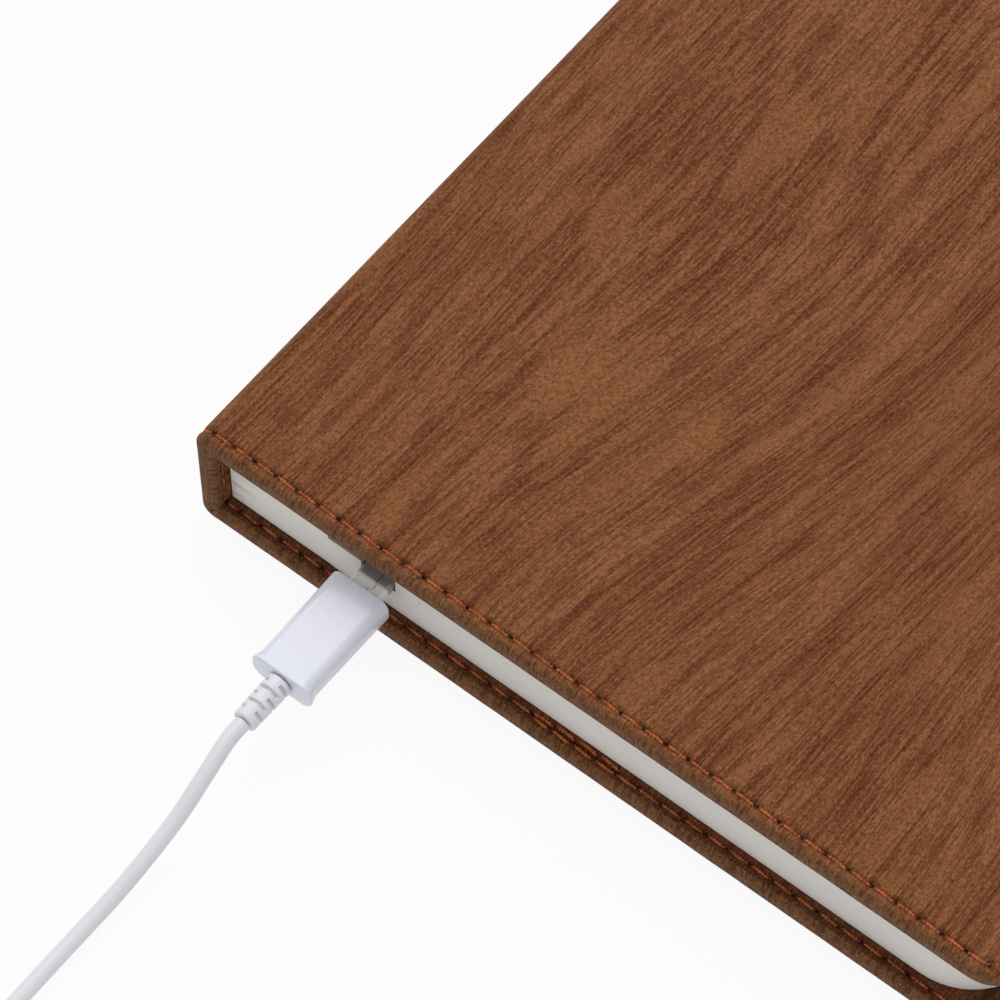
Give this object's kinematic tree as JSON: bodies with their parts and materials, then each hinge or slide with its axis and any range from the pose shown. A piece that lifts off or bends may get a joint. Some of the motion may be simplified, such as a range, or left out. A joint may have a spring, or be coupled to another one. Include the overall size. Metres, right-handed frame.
{
  "type": "folding book lamp",
  "caption": "Book-shaped folding lamp: a stitched leather-look case that opens both ways round a fan of page leaves and a light core, with a plugged-in charging cable.",
  "frame": {"origin": "centre of the closed case's box on the surface it lies on, the cable left out", "axes": "+X from the spine to the fore edge, +Y along the spine away from the charging port, +Z from the back cover to the front cover"},
  "size_m": [0.188, 0.384, 0.0258],
  "materials": {
    "case_leather": "embossed wood-grain print, satin",
    "inner_leather": "plain, satin",
    "grey_board": "matte",
    "magnet_nickel": "plated",
    "white_plastic": "matte",
    "diffuser_plastic": "satin, translucent",
    "circuit_board": "solder mask",
    "led_strip": "white mask",
    "cell_wrap": "shrink sleeve",
    "red_lead": "satin",
    "black_plastic": "matte",
    "plated_steel": "bright plated",
    "page_paper": "matte",
    "plug_plastic": "gloss",
    "cord_jacket": "satin"
  },
  "bodies": {
    "spine": {"spine_skin": "case_leather", "spine_board": "grey_board", "spine_lining": "inner_leather", "front_hinge_roll": "case_leather", "back_hinge_roll": "case_leather", "core_tray": "white_plastic", "core_diffuser": "diffuser_plastic", "core_cap_port": "white_plastic", "core_cap_top": "white_plastic", "charge_board": "circuit_board", "charge_socket": "plated_steel", "led_carrier": "white_plastic", "led_strip_front": "led_strip", "led_strip_back": "led_strip", "battery_cell_01": "cell_wrap", "battery_cell_02": "cell_wrap", "battery_lead_red": "red_lead", "battery_lead_black": "black_plastic", "hall_switch": "black_plastic", "tray_screw_01": "plated_steel", "tray_screw_02": "plated_steel"},
    "front_cover": {"front_cover_skin": "case_leather", "front_cover_board": "grey_board", "front_cover_lining": "inner_leather", "front_cover_magnet_01": "magnet_nickel", "front_cover_magnet_02": "magnet_nickel", "switch_magnet": "magnet_nickel"},
    "back_cover": {"back_cover_skin": "case_leather", "back_cover_board": "grey_board", "back_cover_lining": "inner_leather", "back_cover_magnet_01": "magnet_nickel", "back_cover_magnet_02": "magnet_nickel"},
    "page_leaf_01": {"page_leaf_01": "page_paper"},
    "page_leaf_02": {"page_leaf_02": "page_paper"},
    "page_leaf_03": {"page_leaf_03": "page_paper"},
    "page_leaf_04": {"page_leaf_04": "page_paper"},
    "page_leaf_05": {"page_leaf_05": "page_paper"},
    "page_leaf_06": {"page_leaf_06": "page_paper"},
    "page_leaf_07": {"page_leaf_07": "page_paper"},
    "page_leaf_08": {"page_leaf_08": "page_paper"},
    "page_leaf_09": {"page_leaf_09": "page_paper"},
    "page_leaf_10": {"page_leaf_10": "page_paper"},
    "page_leaf_11": {"page_leaf_11": "page_paper"},
    "page_leaf_12": {"page_leaf_12": "page_paper"},
    "page_leaf_13": {"page_leaf_13": "page_paper"},
    "page_leaf_14": {"page_leaf_14": "page_paper"},
    "page_leaf_15": {"page_leaf_15": "page_paper"},
    "page_leaf_16": {"page_leaf_16": "page_paper"},
    "cable": {"plug_shell": "plated_steel", "plug_body": "plug_plastic", "plug_strain_relief": "plug_plastic", "charging_cord": "cord_jacket", "cord_tail": "cord_jacket", "cord_coil": "cord_jacket", "cord_tie": "black_plastic", "wall_plug_body": "plug_plastic", "wall_plug_shell": "plated_steel"}
  },
  "joints": [
    {"name": "front_cover_hinge", "type": "hinge", "parent": "spine", "child": "front_cover", "pos_m": [-0.084, 0, 0.0248], "axis": [0, -1, 0], "range_deg": [0, 183.6]},
    {"name": "back_cover_hinge", "type": "hinge", "parent": "spine", "child": "back_cover", "pos_m": [-0.084, 0, 0.001], "axis": [0, 1, 0], "range_deg": [0, 183.6]},
    {"name": "page_leaf_01_hinge", "type": "hinge", "parent": "spine", "child": "page_leaf_01", "pos_m": [-0.084, 0, 0.0024], "axis": [0, 1, 0], "range_deg": [0, 162.1]},
    {"name": "page_leaf_02_hinge", "type": "hinge", "parent": "spine", "child": "page_leaf_02", "pos_m": [-0.084, 0, 0.0038], "axis": [0, 1, 0], "range_deg": [0, 140.4]},
    {"name": "page_leaf_03_hinge", "type": "hinge", "parent": "spine", "child": "page_leaf_03", "pos_m": [-0.084, 0, 0.0052], "axis": [0, 1, 0], "range_deg": [0, 118.8]},
    {"name": "page_leaf_04_hinge", "type": "hinge", "parent": "spine", "child": "page_leaf_04", "pos_m": [-0.084, 0, 0.0066], "axis": [0, 1, 0], "range_deg": [0, 97.2]},
    {"name": "page_leaf_05_hinge", "type": "hinge", "parent": "spine", "child": "page_leaf_05", "pos_m": [-0.084, 0, 0.008], "axis": [0, 1, 0], "range_deg": [0, 75.6]},
    {"name": "page_leaf_06_hinge", "type": "hinge", "parent": "spine", "child": "page_leaf_06", "pos_m": [-0.084, 0, 0.0094], "axis": [0, 1, 0], "range_deg": [0, 54]},
    {"name": "page_leaf_07_hinge", "type": "hinge", "parent": "spine", "child": "page_leaf_07", "pos_m": [-0.084, 0, 0.0108], "axis": [0, 1, 0], "range_deg": [0, 32.4]},
    {"name": "page_leaf_08_hinge", "type": "hinge", "parent": "spine", "child": "page_leaf_08", "pos_m": [-0.084, 0, 0.0122], "axis": [0, 1, 0], "range_deg": [0, 10.8]},
    {"name": "page_leaf_09_hinge", "type": "hinge", "parent": "spine", "child": "page_leaf_09", "pos_m": [-0.084, 0, 0.0136], "axis": [0, -1, 0], "range_deg": [0, 10.8]},
    {"name": "page_leaf_10_hinge", "type": "hinge", "parent": "spine", "child": "page_leaf_10", "pos_m": [-0.084, 0, 0.015], "axis": [0, -1, 0], "range_deg": [0, 32.4]},
    {"name": "page_leaf_11_hinge", "type": "hinge", "parent": "spine", "child": "page_leaf_11", "pos_m": [-0.084, 0, 0.0164], "axis": [0, -1, 0], "range_deg": [0, 54]},
    {"name": "page_leaf_12_hinge", "type": "hinge", "parent": "spine", "child": "page_leaf_12", "pos_m": [-0.084, 0, 0.0178], "axis": [0, -1, 0], "range_deg": [0, 75.6]},
    {"name": "page_leaf_13_hinge", "type": "hinge", "parent": "spine", "child": "page_leaf_13", "pos_m": [-0.084, 0, 0.0192], "axis": [0, -1, 0], "range_deg": [0, 97.2]},
    {"name": "page_leaf_14_hinge", "type": "hinge", "parent": "spine", "child": "page_leaf_14", "pos_m": [-0.084, 0, 0.0206], "axis": [0, -1, 0], "range_deg": [0, 118.8]},
    {"name": "page_leaf_15_hinge", "type": "hinge", "parent": "spine", "child": "page_leaf_15", "pos_m": [-0.084, 0, 0.022], "axis": [0, -1, 0], "range_deg": [0, 140.4]},
    {"name": "page_leaf_16_hinge", "type": "hinge", "parent": "spine", "child": "page_leaf_16", "pos_m": [-0.084, 0, 0.0234], "axis": [0, -1, 0], "range_deg": [0, 162.1]},
    {"name": "cable_plug_slide", "type": "slide", "parent": "spine", "child": "cable", "axis": [0, -1, 0], "range_m": [0, 0.008]}
  ],
  "couplings": [
    {"joint": "page_leaf_01_hinge", "follows": "back_cover_hinge", "ratio": 0.88235},
    {"joint": "page_leaf_02_hinge", "follows": "back_cover_hinge", "ratio": 0.76471},
    {"joint": "page_leaf_03_hinge", "follows": "back_cover_hinge", "ratio": 0.64706},
    {"joint": "page_leaf_04_hinge", "follows": "back_cover_hinge", "ratio": 0.52941},
    {"joint": "page_leaf_05_hinge", "follows": "back_cover_hinge", "ratio": 0.41176},
    {"joint": "page_leaf_06_hinge", "follows": "back_cover_hinge", "ratio": 0.29412},
    {"joint": "page_leaf_07_hinge", "follows": "back_cover_hinge", "ratio": 0.17647},
    {"joint": "page_leaf_08_hinge", "follows": "back_cover_hinge", "ratio": 0.058824},
    {"joint": "page_leaf_09_hinge", "follows": "front_cover_hinge", "ratio": 0.058824},
    {"joint": "page_leaf_10_hinge", "follows": "front_cover_hinge", "ratio": 0.17647},
    {"joint": "page_leaf_11_hinge", "follows": "front_cover_hinge", "ratio": 0.29412},
    {"joint": "page_leaf_12_hinge", "follows": "front_cover_hinge", "ratio": 0.41176},
    {"joint": "page_leaf_13_hinge", "follows": "front_cover_hinge", "ratio": 0.52941},
    {"joint": "page_leaf_14_hinge", "follows": "front_cover_hinge", "ratio": 0.64706},
    {"joint": "page_leaf_15_hinge", "follows": "front_cover_hinge", "ratio": 0.76471},
    {"joint": "page_leaf_16_hinge", "follows": "front_cover_hinge", "ratio": 0.88235}
  ]
}
